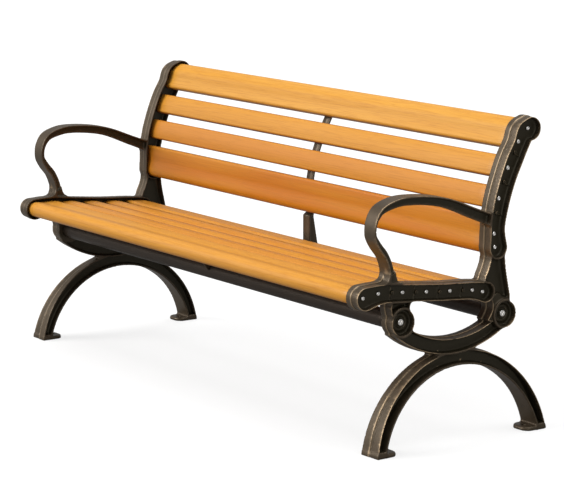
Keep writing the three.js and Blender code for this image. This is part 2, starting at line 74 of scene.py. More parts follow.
casting = {
    "voxel": 1.55,
    "quickVoxel": 2.4,
    "slatEnd": 750.0,        # the slats stop here, along X
    "inboard": 732.5,
    "depth": 42.5,           # inboard face to outboard rim
    "webLow": 18.0,          # the web lies between these depths
    "webHigh": 25.0,
    "rim": 4.2,
    "draft": 0.05,
    "edgeRound": 1.8,
    "footSpan": 508.0,
    "legWidth": 26.5,
    "archRise": 185.0,
    "archCrown": 37.0,
    "archSetback": 16.0,
    "saddleBand": 39.0,
    "saddleRadius": 277.0,
    "flare": 20.0,
    "flareHeight": 200.0,
    "bossRadius": 34.5,
    "bossRim": 4.0,
    "stretcherRadius": 22.0,
    "boltHole": 5.3,
    "footLength": 38.0,
    "footThickness": 10.0,
    "footCorner": 24.0,
    "footInset": 3.0,        # its outer edge lies this far inside the leg's
    "footEdge": 6.0,
    "anchorHole": 5.0,
    "anchorEdge": 1.5,
    "proud": 2.2,            # the inboard half of the outer faces stands this much further out
    "groove": 1.5,
    "stepAt": 20.5,          # the groove's depth from the inboard face, where nothing flares
    "stepSharp": 3.0,
    "grooveHalf": 1.4,
    "plainFade": 4.0,        # the step fades out over this distance beside the armrest
    "armWeb": (14.0, 27.0),  # the same two depths for the armrest's web and for the pads
    "padWeb": (8.0, 35.0),
    "bossWall": 1.5,
    "bandWall": 1.0,
    "armPocket": 6.0,
    "footPocket": 5.0,
    "webFillet": 5.0,
    "mouthFillet": 1.6,
    "pocketFillet": 3.0,
    "ribHalf": 1.1,
    "ribRise": 2.2,
    "pipRadius": 4.3,
    "pipRise": 6.2,
    "cupFillet": 3.0,
    "ringIn": (3.2, 13.8),   # the raised ring on a cup's floor: rise and radius, then fall and radius
    "ringOut": (2.8, 21.5),
    "ringSharp": 2.0,
    "highlightHalf": 1.2,         # the painted highlight line along the step
    "highlightShift": 1.9,
}

# radii of the fillets between the members
fillets = {"armrest": 26, "upright": 8, "spine": 10, "arch": 14, "boss": 7, "halves": 5, "foot": 7}
# the spine pocket's wavy top and the armrest pocket's bent foot, from the curved band's lowest point
waveTop = {"height": 122, "swing": 6, "middle": 122, "stretch": 7}
armFootLine = {"height": 205, "bend": 0.06, "middle": -180, "endsAt": 240, "beyond": -20}

slats = {
    "half": 12.0,
    "narrowWidth": 54.0,
    "crown": 2.5,
    "edge": 6.5,
    "endChamfer": 0.9,
    "rollLength": 34.0,
    "rollClearance": 9.0,    # rim and free space between a roll and the pocket
    "seatPitch": 69.7,
    "firstSeatGap": 78.7,
    "seatGap": 15.7,
    "backPitch": 74.5,
    "firstBackGap": 78.5,
    "backGap": 20.5,
    "longScrewPitch": 44.0,
    "shortScrewPitch": 32.0,
}

bossLow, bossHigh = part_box("front_stretcher")
saddleY = (bossLow.y + bossHigh.y) / 2 / mm - frontBoss[0]
saddleZ = (bossLow.z + bossHigh.z) / 2 / mm - frontBoss[1]
archY = saddleY + casting["archSetback"]
curveSteps = 360         # pieces that each curve is divided into


# Centripetal spline through stations: cubic pieces with tangents from the uneven knots.
def stationCurve(stations):
    pts = np.array(stations, float) + np.array([saddleY, saddleZ, 0.0])
    ext = np.vstack([2 * pts[0] - pts[1], pts, 2 * pts[-1] - pts[-2]])
    u = np.linspace(0, 1, curveSteps + 1) * (len(pts) - 1)
    i = np.minimum(u.astype(int), len(pts) - 2)
    w = (u - i)[:, None]
    p0, p1, p2, p3 = ext[i], ext[i + 1], ext[i + 2], ext[i + 3]
    d0, d1, d2 = (np.maximum(((b - a) ** 2).sum(1), 1e-8)[:, None] ** 0.25
                  for a, b in ((p0, p1), (p1, p2), (p2, p3)))
    t1 = ((p1 - p0) / d0 - (p2 - p0) / (d0 + d1) + (p2 - p1) / d1) * d1
    t2 = ((p2 - p1) / d1 - (p3 - p1) / (d1 + d2) + (p3 - p2) / d2) * d1
    c2 = -3 * p1 + 3 * p2 - 2 * t1 - t2
    c3 = 2 * p1 - 2 * p2 + t1 + t2
    return p1 + t1 * w + c2 * w ** 2 + c3 * w ** 3


# Distance run along a curve at each of its points.
def runOf(curve):
    return np.r_[0, np.cumsum(np.hypot(*np.diff(curve[:, :2], axis=0).T))]


# A curve read at given distances: place, half width and unit tangent.
def readCurve(curve, s):
    run = runOf(curve)
    grad = np.gradient(curve[:, :2], run, axis=0)
    s = np.atleast_1d(np.asarray(s, float))
    at = np.stack([np.interp(s, run, curve[:, k]) for k in range(3)], 1)
    tan = np.stack([np.interp(s, run, grad[:, k]) for k in range(2)], 1)
    return at, tan / np.hypot(*tan.T)[:, None]


seatCurve = stationCurve(seatStations)
backCurve = stationCurve(backStations)
armCurve = stationCurve(armStations)
seatRun = runOf(seatCurve)[-1]
backRun = runOf(backCurve)[-1]
seatGaps = slats["firstSeatGap"] + slats["seatPitch"] * np.arange(4)
backGaps = slats["firstBackGap"] + slats["backPitch"] * np.arange(3)
seatMiddles = (seatGaps[:-1] + seatGaps[1:]) / 2
backMiddles = (backGaps[:-1] + backGaps[1:]) / 2
frontEdge = seatGaps[0] - slats["seatGap"] / 2      # plain edges of the four wide slats
rearEdge = seatGaps[-1] + slats["seatGap"] / 2
bottomEdge = backGaps[0] - slats["backGap"] / 2
topEdge = backGaps[-1] + slats["backGap"] / 2


# ---- meshes ----
def makePiece(name, verts, faces, material, nodes, layers=None, normals=None):
    mesh = bpy.data.meshes.new(name)
    mesh.from_pydata((np.asarray(verts, float) * mm).tolist(), [], faces)
    for key, values in (layers or {}).items():
        layer = mesh.attributes.new(key, "FLOAT", "POINT")
        layer.data.foreach_set("value", np.asarray(values, np.float32).ravel())
    mesh.polygons.foreach_set("use_smooth", np.full(len(mesh.polygons), True))
    mesh.materials.append(material)
    mesh.update()
    if normals is not None:
        mesh.normals_split_custom_set_from_vertices(normals.tolist())
    piece = bpy.data.objects.new(name, mesh)
    bpy.context.scene.collection.objects.link(piece)
    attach(piece, "root")
    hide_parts(*nodes)


# Quads that join rings of equal count, each ring closed on itself.
def ringFaces(rings, count):
    i, j = np.meshgrid(np.arange(rings - 1), np.arange(count), indexing="ij")
    k = (j + 1) % count
    quads = np.stack([i * count + j, i * count + k, (i + 1) * count + k, (i + 1) * count + j], -1)
    return quads.reshape(-1, 4)


# The first ring, turned round, and the last one close the two ends.
def endFaces(total, count):
    return [list(range(count))[::-1], list(range(total - count, total))]


# Faces turned so that the solid's volume comes out positive.
def facingOut(verts, faces):
    v = np.asarray(verts, float)
    v = v - v.mean(0)
    total = 0.0
    for size in {len(f) for f in faces}:
        group = np.array([f for f in faces if len(f) == size])
        for n in range(1, size - 1):
            a, b, c = v[group[:, 0]], v[group[:, n]], v[group[:, n + 1]]
            total += np.einsum("ij,ij->i", a, np.cross(b, c)).sum()
    return faces if total > 0 else [f[::-1] for f in faces]


# ---- distance fields: millimetres, negative inside ----
def union(a, b, soft):
    h = np.maximum(soft - np.abs(a - b), 0) / soft
    return np.minimum(a, b) - h * h * soft / 4


def meet(a, b, soft):
    h = np.maximum(soft - np.abs(a - b), 0) / soft
    return np.maximum(a, b) + h * h * soft / 4


# A band of changing width: the nearest disc along the curve. Also gives the run along the curve
# and how far a point lies past the band's left edge.
def bandField(curve, y, z):
    spots = np.stack([y.ravel(), z.ravel()], 1)
    best = np.full(len(spots), 1e9)
    which = np.zeros(len(spots), int)
    batch = 18               # curve points compared at a time
    for first in range(0, len(curve), batch):
        part = curve[first:first + batch]
        d = np.hypot(spots[:, :1] - part[:, 0], spots[:, 1:] - part[:, 1]) - part[:, 2]
        near = d.argmin(1)
        value = d[np.arange(len(spots)), near]
        closer = value < best
        best[closer] = value[closer]
        which[closer] = near[closer] + first
    run = runOf(curve)
    at, tan = readCurve(curve, run)
    off = spots - at[which, :2]
    past = off[:, 1] * tan[which, 0] - off[:, 0] * tan[which, 1] - at[which, 2]
    along = run[which] + (off * tan[which]).sum(1)
    return best.reshape(y.shape), along.reshape(y.shape), past.reshape(y.shape)


# A closed outline as the distance to its nearest edge.
def polygonField(p, y, z):
    best = np.full(y.shape, 1e9)
    inside = np.zeros(y.shape, bool)
    for a, b in zip(p, np.roll(p, -1, 0)):
        edge = b - a
        wy, wz = y - a[0], z - a[1]
        t = np.clip((wy * edge[0] + wz * edge[1]) / (edge @ edge), 0, 1)
        best = np.minimum(best, (wy - edge[0] * t) ** 2 + (wz - edge[1] * t) ** 2)
        if abs(edge[1]) > 1e-9:
            crosses = (a[1] > z) != (b[1] > z)
            inside ^= crosses & (wy < edge[0] * wz / edge[1])
    return np.where(inside, -1, 1) * np.sqrt(best)


# The same for an outline of stations, with its corners cut twice.
def outlineField(points, y, z):
    p = np.array(points, float)
    for _ in range(2):
        q = np.roll(p, -1, 0)
        p = np.stack([0.75 * p + 0.25 * q, 0.25 * p + 0.75 * q], 1).reshape(-1, 2)
    return polygonField(p + [saddleY, saddleZ], y, z)


def discField(centre, radius, y, z):
    return np.hypot(y - saddleY - centre[0], z - saddleZ - centre[1]) - radius


# The curved band between the bosses: a ring about its centre, stopped on the two boss centres.
def saddleField(y, z):
    middle = casting["saddleRadius"] - casting["saddleBand"] / 2
    dy, dz = y - saddleY, z - saddleZ - casting["saddleRadius"]
    ring = np.abs(np.hypot(dy, dz) - middle) - casting["saddleBand"] / 2
    for boss, side in ((frontBoss, -1), (rearBoss, 1)):
        ray = np.array([boss[0], boss[1] - casting["saddleRadius"]])
        ray /= np.hypot(*ray)
        ring = np.maximum(ring, side * (dy * -ray[1] + dz * ray[0]))
    return ring


# Two circles through the feet and the crown: the leg thickens upwards.
def archFields(y, z):
    def circle(halfSpan, rise):
        radius = (halfSpan ** 2 + rise ** 2) / (2 * rise)
        return np.hypot(y - archY, z - rise + radius) - radius
    half = casting["footSpan"] / 2
    outer = circle(half, casting["archRise"] + casting["archCrown"])
    inner = -circle(half - casting["legWidth"], casting["archRise"])
    return np.maximum(outer, inner), inner


# Foot: a rounded plate under the leg that reaches in under the bench.
def footField(u, y, z, side):
    wide = (casting["depth"] + casting["flare"]) / 2
    outerEdge = casting["footSpan"] / 2 - casting["footInset"]
    tip = casting["footSpan"] / 2 - casting["legWidth"] - casting["footLength"]
    r = casting["footCorner"]
    across = np.abs(u - wide) - (wide - r)
    inward = (tip + r) - side * (y - archY)
    corner = np.hypot(np.maximum(across, 0), np.maximum(inward, 0))
    plate = corner + np.minimum(np.maximum(across, inward), 0) - r
    plate = np.maximum(plate, side * (y - archY) - outerEdge)
    plate = meet(plate, z - casting["footThickness"], casting["footEdge"])
    hole = casting["anchorHole"] - np.hypot(u - wide, side * (y - archY) - tip - casting["footLength"] / 2)
    return meet(plate, hole, casting["anchorEdge"])


# Depth of the casting at each height: the legs flare towards the ground.
def reachAt(z):
    c = casting
    rise = (c["flareHeight"] - z) / (c["flareHeight"] - c["footThickness"])
    return c["depth"] + c["flare"] * np.clip(rise, 0, 1)


# A size divided by this rises smoothly from 0 to the size.
def rising(value, sharp):
    return 1 + np.exp(-value * sharp)


def castingField(u, y, z):
    c = casting
    y2, z2 = y[0], z[0]
    seat, seatAlong = bandField(seatCurve, y2, z2)[:2]
    back, backAlong = bandField(backCurve, y2, z2)[:2]
    arm, armPast = bandField(armCurve, y2, z2)[::2]
    spine = outlineField(spineOutline, y2, z2)
    neck = outlineField(neckOutline, y2, z2)
    saddle = saddleField(y2, z2)
    arch, archInner = archFields(y2, z2)
    bosses = [discField(boss, c["bossRadius"], y2, z2) for boss in (frontBoss, rearBoss)]
    print("outlines measured")

    # silhouette, with fillets where the members meet
    upper = union(union(seat, arm, fillets["armrest"]), back, fillets["upright"])
    upper = union(union(upper, spine, fillets["spine"]), neck, fillets["spine"])
    lower = union(saddle, arch, fillets["arch"])
    for boss in bosses:
        lower = union(lower, boss, fillets["boss"])
    plan = union(upper, lower, fillets["halves"])

    # outer faces are stepped: a proud inboard half, a groove, then the outboard half
    reach = reachAt(z)
    share = u / reach * c["depth"]
    plain = np.clip(np.minimum(arm, np.abs(plan - archInner) * 2 - 1) / c["plainFade"], 0, 1)[None]
    fromStep = share - c["stepAt"]
    step = c["proud"] / rising(fromStep, c["stepSharp"])
    step = step + c["groove"] * np.exp(-(fromStep / c["grooveHalf"]) ** 2)
    body = meet(plan[None] + plain * step, np.maximum(-u, u - reach), c["edgeRound"])

    # pockets: the plan of each, the web that they stop on, and the side that they open to
    rim, wall = c["rim"], c["bossWall"]
    high = z2 - saddleZ
    waveAt = (y2 - saddleY - waveTop["middle"]) / waveTop["stretch"]
    wave = waveTop["height"] + waveTop["swing"] * np.sin(waveAt)
    spinePlan = np.maximum.reduce([spine + rim, -seat, -back, wall - bosses[1]])
    neckPlan = np.maximum.reduce([neck + rim, -seat, wall - bosses[0]])
    apart = c["bandWall"]
    armPlan = np.maximum.reduce([armPast + rim, arm - c["armPocket"], apart - seat, apart - back])
    fromMiddle = y2 - saddleY - armFootLine["middle"]
    armFoot = armFootLine["height"] - high + armFootLine["bend"] * fromMiddle ** 2
    webbed = np.minimum.reduce([
        seat + rim,
        back + rim,
        np.maximum.reduce([saddle + rim, wall - bosses[0], wall - bosses[1]]),
        np.maximum.reduce([arch + rim, -saddle, c["footThickness"] + c["footPocket"] - z2]),
        meet(spinePlan, wave - high, c["pocketFillet"]),
        neckPlan,
    ])
    armEnd = np.where(high < armFootLine["endsAt"], armFoot, armFootLine["beyond"])
    armWeb = meet(armPlan, armEnd, c["pocketFillet"])
    pads = np.minimum(spinePlan, armPlan)
    webs = ((webbed, (c["webLow"], c["webHigh"])), (armWeb, c["armWeb"]), (pads, c["padWeb"]))
    for pocket, (inner, outer) in webs:
        outward = meet(pocket[None] + (reach - u) * c["draft"], outer - u, c["webFillet"])
        inward = meet(pocket[None] + u * c["draft"], u - inner, c["webFillet"])
        body = meet(body, -outward, c["mouthFillet"])
        body = meet(body, -inward, c["mouthFillet"])
    print("pockets cut")

    # thin ribs and a pip on the web in every gap between slats
    fromWeb = np.abs(u - c["webHigh"])
    for along, inside, places in ((seatAlong, seat, seatGaps), (backAlong, back, backGaps)):
        for place in places:
            rib = np.maximum(np.abs(along - place) - c["ribHalf"], inside + 1)[None]
            body = union(body, np.maximum(rib, fromWeb - c["ribRise"]), 1.5)
    for centre in pipPlaces():
        pip = np.hypot(y2 - centre[0], z2 - centre[1])[None] - c["pipRadius"]
        body = union(body, meet(pip, fromWeb - c["pipRise"], 1.2), 0.8)

    # boss cups with a raised ring on the floor, and the bolt hole
    for boss in (frontBoss, rearBoss):
        r = discField(boss, 0, y2, z2)[None]
        (rise, riseAt), (fall, fallAt) = c["ringIn"], c["ringOut"]
        floor = c["webHigh"] + rise / rising(r - riseAt, c["ringSharp"])
        floor = floor - fall / rising(r - fallAt, c["ringSharp"])
        cup = meet(r - c["bossRadius"] + c["bossRim"] + (reach - u) * c["draft"], floor - u, c["cupFillet"])
        body = meet(body, -cup, c["mouthFillet"])
        body = meet(body, c["boltHole"] - r, 1.0)

    for side in (1, -1):
        body = union(body, footField(u, y, z, side), fillets["foot"])
    print("feet joined")
    ends = np.maximum.reduce([-z, -u, u - c["depth"] - c["flare"]])
    return meet(body, ends, 2.0), plan, plain[0]


# Middle of every gap between slats, a little behind the rib.
def pipPlaces():
    places = [readCurve(seatCurve, s + 3)[0][0, :2] for s in seatGaps]
    return places + [readCurve(backCurve, s + 3)[0][0, :2] for s in backGaps]


# A field read at places between its grid points, by trilinear weights.
def readField(field, places):
    i = np.clip(places.astype(int), 0, np.array(field.shape) - 2)
    w = places - i
    total = 0.0
    for corner in range(8):
        bit = np.array([corner >> 2 & 1, corner >> 1 & 1, corner & 1])
        weight = np.prod(np.where(bit, w, 1 - w), axis=1)
        total = total + weight * field[tuple((i + bit).T)]
    return total


slopeStep = 0.6          # in cells
bendReach = 1.7          # in millimetres


# The zero surface of a field on a grid: points in millimetres, faces, normals from the slope, and
# how strongly the surface bends: above zero on edges, below it in corners.
def surfaceOf(field, origin, size, adaptivity):
    band = 3.0 * size
    grid = openvdb.FloatGrid(band)
    grid.copyFromArray(np.clip(field, -band, band).astype(np.float32))
    points, tris, quads = grid.convertToPolygons(isovalue=0.0, adaptivity=adaptivity)
    faces = tris.tolist() + quads.tolist()
    def around(step):
        return [readField(field, points + sign * step * axis) for axis in np.eye(3) for sign in (1, -1)]
    near = around(slopeStep)
    normals = np.stack([near[0] - near[1], near[2] - near[3], near[4] - near[5]], 1)
    normals /= np.maximum(np.linalg.norm(normals, axis=1), 1e-9)[:, None]
    bend = sum(around(bendReach / size)) / 6
    return points * size + origin, faces, normals, bend


# ---- shader building ----
def material(name):
    made = bpy.data.materials.new(name)
    made.use_nodes = True
    tree = made.node_tree
    shader = next(n for n in tree.nodes if n.type == "BSDF_PRINCIPLED")
    return made, tree, shader


def node(tree, kind, inputs=None, **settings):
    made = tree.nodes.new(kind)
    for key, value in settings.items():
        setattr(made, key, value)
    for key, value in (inputs or {}).items():
        if isinstance(value, bpy.types.NodeSocket):
            tree.links.new(value, made.inputs[key])
        else:
            made.inputs[key].default_value = value
    return made


def maths(tree, operation, *values, clamp=False):
    made = node(tree, "ShaderNodeMath", dict(enumerate(values)), operation=operation, use_clamp=clamp)
    return made.outputs[0]


def mixColour(tree, share, low, high, blend="MIX"):
    mix = node(tree, "ShaderNodeMix", {0: share, 6: low, 7: high}, data_type="RGBA", blend_type=blend)
    return mix.outputs[2]


def stretch(tree, value, low, high):
    made = node(tree, "ShaderNodeMapRange", {0: value, 1: low, 2: high}, interpolation_type="SMOOTHSTEP")
    return made.outputs[0]


def noise(tree, place, scale, detail, rough=0.5):
    inputs = {"Vector": place, "Scale": scale, "Detail": detail, "Roughness": rough}
    return node(tree, "ShaderNodeTexNoise", inputs).outputs[0]


def vectorMaths(tree, operation, a, b):
    return node(tree, "ShaderNodeVectorMath", {0: a, 1: b}, operation=operation).outputs[0]


def group(name, inputs, outputs):
    tree = bpy.data.node_groups.new(name, "ShaderNodeTree")
    for key, (kind, value) in inputs.items():
        socket = tree.interface.new_socket(key, in_out="INPUT", socket_type=kind)
        if value is not None:
            socket.default_value = value
    for key, kind in outputs.items():
        tree.interface.new_socket(key, in_out="OUTPUT", socket_type=kind)
    return tree, tree.nodes.new("NodeGroupInput").outputs, tree.nodes.new("NodeGroupOutput").inputs


def placeGroup(tree, made, inputs):
    return node(tree, "ShaderNodeGroup", inputs, node_tree=made).outputs


# Fibres and drawn-out rings along X: noise read from coordinates squeezed along the board.
def grainGroup():
    tree, given, result = group(
        "boardGrain",
        {"Place": ("NodeSocketVector", None), "Fibre": ("NodeSocketFloat", 520.0),
         "Ring": ("NodeSocketFloat", 22.0)},
        {"Fibres": "NodeSocketFloat", "Rings": "NodeSocketFloat", "Tone": "NodeSocketFloat"},
    )

    def drawnOut(along, across, detail, rough=0.5):
        size = node(tree, "ShaderNodeCombineXYZ", {0: along, 1: across, 2: across}).outputs[0]
        return noise(tree, vectorMaths(tree, "MULTIPLY", given["Place"], size), 1.0, detail, rough)

    fibres = drawnOut(9.0, given["Fibre"], 3.0, 0.62)
    broad = drawnOut(1.5, given["Ring"], 2.0)
    rings = maths(tree, "SINE", maths(tree, "MULTIPLY", broad, 95.0))
    flecks = drawnOut(26.0, maths(tree, "MULTIPLY", given["Fibre"], 0.45), 2.0)
    rings = maths(tree, "MULTIPLY_ADD", rings, 0.5, 0.5)
    tree.links.new(fibres, result["Fibres"])
    tree.links.new(maths(tree, "MULTIPLY", rings, flecks), result["Rings"])
    tree.links.new(broad, result["Tone"])
    return tree


# Rubbed edge wear and painted highlight on edges, and painted shade in concave corners, from the surface's
# own bend, broken up by noise.
def makeWearShadeHighlight():
    tree, given, result = group(
        "rubWearShadeHighlight",
        {"Place": ("NodeSocketVector", None), "Bend": ("NodeSocketFloat", 0.0),
         "Start": ("NodeSocketFloat", 0.19), "Full": ("NodeSocketFloat", 0.46),
         "Break": ("NodeSocketFloat", 0.07)},
        {"RubAndHighlight": "NodeSocketFloat", "CornerShade": "NodeSocketFloat",
         "Cloud": "NodeSocketFloat", "Pits": "NodeSocketFloat"},
    )
    cloud = noise(tree, given["Place"], 28.0, 4.0)
    pits = noise(tree, given["Place"], 620.0, 2.0)
    broken = maths(tree, "MULTIPLY_ADD", maths(tree, "SUBTRACT", cloud, 0.5), given["Break"], given["Bend"])
    # Rubbed wear and painted highlight on convex bends.
    edge = stretch(tree, broken, given["Start"], given["Full"])
    # Painted shade in concave corners.
    corner = stretch(tree, broken, -0.08, -0.45)
    tree.links.new(edge, result["RubAndHighlight"])
    tree.links.new(corner, result["CornerShade"])
    tree.links.new(cloud, result["Cloud"])
    tree.links.new(pits, result["Pits"])
    return tree


boardGrain = grainGroup()
rubWearShadeHighlight = makeWearShadeHighlight()


def objectPlace(tree):
    return node(tree, "ShaderNodeTexCoord").outputs["Object"]


def attribute(tree, name):
    made = node(tree, "ShaderNodeAttribute", attribute_name=name, attribute_type="GEOMETRY")
    return made.outputs["Fac"]


# A share of one output as a new value.
def part(tree, value, share):
    return maths(tree, "MULTIPLY", value, share)


# deep and pale are the two ends of each slat's tone and painted light: pale carries a painted sheen, deep a
# painted shade.
woodColours = {
    "deep": (0.42, 0.122, 0.0012, 1),
    "pale": (0.54, 0.258, 0.034, 1),
    "broad": (0.50, 0.212, 0.010, 1),
    "fibre": (0.31, 0.104, 0.003, 1),
    "ring": (0.33, 0.112, 0.0035, 1),
    # under: painted shade on the boards' sides and undersides.
    "under": (0.21, 0.045, 0.0006, 1),
}
steelColours = ((0.74, 0.72, 0.69, 1), (0.93, 0.91, 0.88, 1))


def oiledWood():
    made, tree, shader = material("oiledWood")
    shiftBy = {0: attribute(tree, "boardShift"), 1: attribute(tree, "boardShift")}
    shift = node(tree, "ShaderNodeCombineXYZ", shiftBy).outputs[0]
    grain = placeGroup(tree, boardGrain, {"Place": vectorMaths(tree, "ADD", objectPlace(tree), shift)})
    # Each slat's own mix of pale and deep: a little random tone, plus painted sheen or painted shade.
    colour = mixColour(tree, attribute(tree, "boardToneAndSheen"), woodColours["deep"], woodColours["pale"])
    for share, hue in (
        (part(tree, stretch(tree, grain["Tone"], 0.35, 0.68), 0.5), "broad"),
        (part(tree, stretch(tree, grain["Fibres"], 0.47, 0.68), 0.38), "fibre"),
        (part(tree, stretch(tree, grain["Rings"], 0.32, 0.62), 0.2), "ring"),
        # painted shade where the surface turns away from its facing
        (attribute(tree, "boardUnderShade"), "under"),
    ):
        colour = mixColour(tree, share, colour, woodColours[hue])
    height = maths(tree, "ADD", part(tree, grain["Fibres"], 0.6), part(tree, grain["Rings"], 0.4))
    bump = node(tree, "ShaderNodeBump", {"Height": height, "Strength": 0.35, "Distance": 0.0006})
    tree.links.new(colour, shader.inputs["Base Color"])
    tree.links.new(bump.outputs[0], shader.inputs["Normal"])
    rough = maths(tree, "MULTIPLY_ADD", grain["Fibres"], 0.22, 0.36)
    tree.links.new(rough, shader.inputs["Roughness"])
    shader.inputs["Specular IOR Level"].default_value = 0.32
    shader.inputs["Coat Weight"].default_value = 0.07
    shader.inputs["Coat Roughness"].default_value = 0.3
    return made


def bronzedIron(name, face, recess, edge, rough):
    made, tree, shader = material(name)
    wearShadeHighlight = placeGroup(tree, rubWearShadeHighlight, {"Place": objectPlace(tree), "Bend": attribute(tree, "bend")})
    # Noise mottling, plus painted shade deeper in the pockets.
    clouded = stretch(tree, wearShadeHighlight["Cloud"], 0.7, 0.3)
    mottleAndShade = maths(tree, "MULTIPLY_ADD", clouded, 0.35, attribute(tree, "pocket"), clamp=True)
    colour = mixColour(tree, mottleAndShade, face, recess)
    # Painted shade in concave corners.
    colour = mixColour(tree, wearShadeHighlight["CornerShade"], colour, recess)
    # Rubbed wear and painted highlight on edges, with the painted highlight line along the step.
    rubAndHighlight = maths(tree, "MAXIMUM", wearShadeHighlight["RubAndHighlight"], part(tree, attribute(tree, "line"), 0.6))
    colour = mixColour(tree, rubAndHighlight, colour, edge)
    tree.links.new(colour, shader.inputs["Base Color"])
    shine = maths(tree, "MULTIPLY_ADD", rubAndHighlight, -0.10, rough)
    tree.links.new(maths(tree, "MULTIPLY_ADD", wearShadeHighlight["Cloud"], 0.14, shine), shader.inputs["Roughness"])
    bump = node(tree, "ShaderNodeBump", {"Height": wearShadeHighlight["Pits"], "Strength": 0.16, "Distance": 0.0005})
    tree.links.new(bump.outputs[0], shader.inputs["Normal"])
    shader.inputs["Metallic"].default_value = 0.5
    shader.inputs["Specular IOR Level"].default_value = 0.35
    return made


def brightSteel():
    made, tree, shader = material("brightSteel")
    smear = noise(tree, objectPlace(tree), 240.0, 3.0)
    colour = mixColour(tree, stretch(tree, smear, 0.35, 0.7), *steelColours)
    tree.links.new(colour, shader.inputs["Base Color"])
    tree.links.new(maths(tree, "MULTIPLY_ADD", smear, 0.18, 0.12), shader.inputs["Roughness"])
    shader.inputs["Metallic"].default_value = 1.0
    return made


wood = oiledWood()
# face is the plain paint; recess is the darker colour of the mottling and of painted shade; edge is the
# colour of rubbed wear and painted highlight.
castFinish = bronzedIron("castBronze", face=(0.080, 0.058, 0.037, 1), recess=(0.032, 0.026, 0.014, 1),
                         edge=(0.42, 0.30, 0.18, 1), rough=0.33)
tubeFinish = bronzedIron("stretcherPaint", face=(0.034, 0.023, 0.015, 1), recess=(0.022, 0.015, 0.010, 1),
                         edge=(0.16, 0.11, 0.07, 1), rough=0.38)
steel = brightSteel()


# ---- end frames ----
# How deep in a pocket each point lies, for painted shade in the pockets, and a painted highlight line along
# the step in the outer faces.
def castingLayers(points, plan, plain, cells):
    c = casting
    flat = cells * [0, 1, 1]
    within = -readField(np.stack([plan, plan]), flat)
    step = readField(np.stack([plain, plain]), flat)
    reach = reachAt(points[:, 2])
    sunk = np.minimum(points[:, 0], reach - points[:, 0])
    # Painted shade: grows deeper into a pocket.
    pocket = np.clip((within - 3.6) / 2.4, 0, 1) * np.clip((sunk - 1.5) / 9, 0, 1)
    share = points[:, 0] / reach * c["depth"]
    # Painted highlight: a bright line along the step.
    fromHighlight = (share - c["stepAt"] + c["highlightShift"]) / c["highlightHalf"]
    line = np.exp(-fromHighlight ** 2) * step * np.clip(2 - within, 0, 1)
    return {"pocket": pocket, "line": line}


def castEndFrames():
    size = casting["voxel"]
    low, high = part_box("end_frame_right")
    start = np.array([0.0, low.y / mm, low.z / mm]) - 3 * size
    stop = np.array([casting["depth"] + casting["flare"], high.y / mm, high.z / mm]) + 3 * size
    u, y, z = np.meshgrid(*(np.arange(a, b + size, size) for a, b in zip(start, stop)), indexing="ij")
    field, plan, plain = castingField(u, y, z)
    points, faces, normals, bend = surfaceOf(field, start, size, 0.15)
    layers = castingLayers(points, plan, plain, (points - start) / size)
    layers["bend"] = bend
    points[:, 0] += casting["inboard"]
    print("end frame:", sum(len(f) - 2 for f in faces), "triangles")
    for name, side in (("right", 1), ("left", -1)):
        flip = np.array([side, 1, 1])
        turned = faces if side > 0 else [f[::-1] for f in faces]
        makePiece("cast_end_frame_" + name, points * flip, turned, castFinish, ["end_frame_" + name],
                  layers, normals * flip)


# ---- slats ----
# A closed outline pulled in along its own normals, or pushed out if the amount is negative.
def pulledIn(ring, amount):
    tangent = np.roll(ring, -1, 0) - np.roll(ring, 1, 0)
    tangent /= np.maximum(np.hypot(*tangent.T), 1e-9)[:, None]
    normal = np.stack([tangent[:, 1], -tangent[:, 0]], 1)
    area = (ring[:, 0] * np.roll(ring[:, 1], -1) - np.roll(ring[:, 0], -1) * ring[:, 1]).sum()
    return ring - normal * amount * np.sign(area)


# Straight board: rounded corners, a flat underside and a crowned face.
def narrowSection(curve, s):
    at, tan = readCurve(curve, s)
    w, h, r = slats["narrowWidth"] / 2, slats["half"], slats["edge"]
    turn = np.linspace(0, np.pi / 2, 9)
    under = np.stack([np.linspace(-w + r, w - r, 12), np.full(12, -h)], 1)
    rightLow = np.stack([w - r + r * np.sin(turn), -h + r - r * np.cos(turn)], 1)
    top = h - slats["crown"]
    rightTop = np.stack([w - r + r * np.cos(turn), top - r + r * np.sin(turn)], 1)
    t = np.linspace(1, -1, 25)[1:-1]
    face = np.stack([t * (w - r), top + slats["crown"] * (1 - t ** 2)], 1)
    leftTop = np.stack([-w + r - r * np.sin(turn), top - r + r * np.cos(turn)], 1)
    leftLow = np.stack([-w + r - r * np.cos(turn), -h + r - r * np.sin(turn)], 1)
    ring = np.vstack([under[:-1], rightLow, rightTop, face, leftTop, leftLow[:-1]])
    across = np.stack([tan[0], [-tan[0, 1], tan[0, 0]]])
    return at[0, :2] + ring @ across


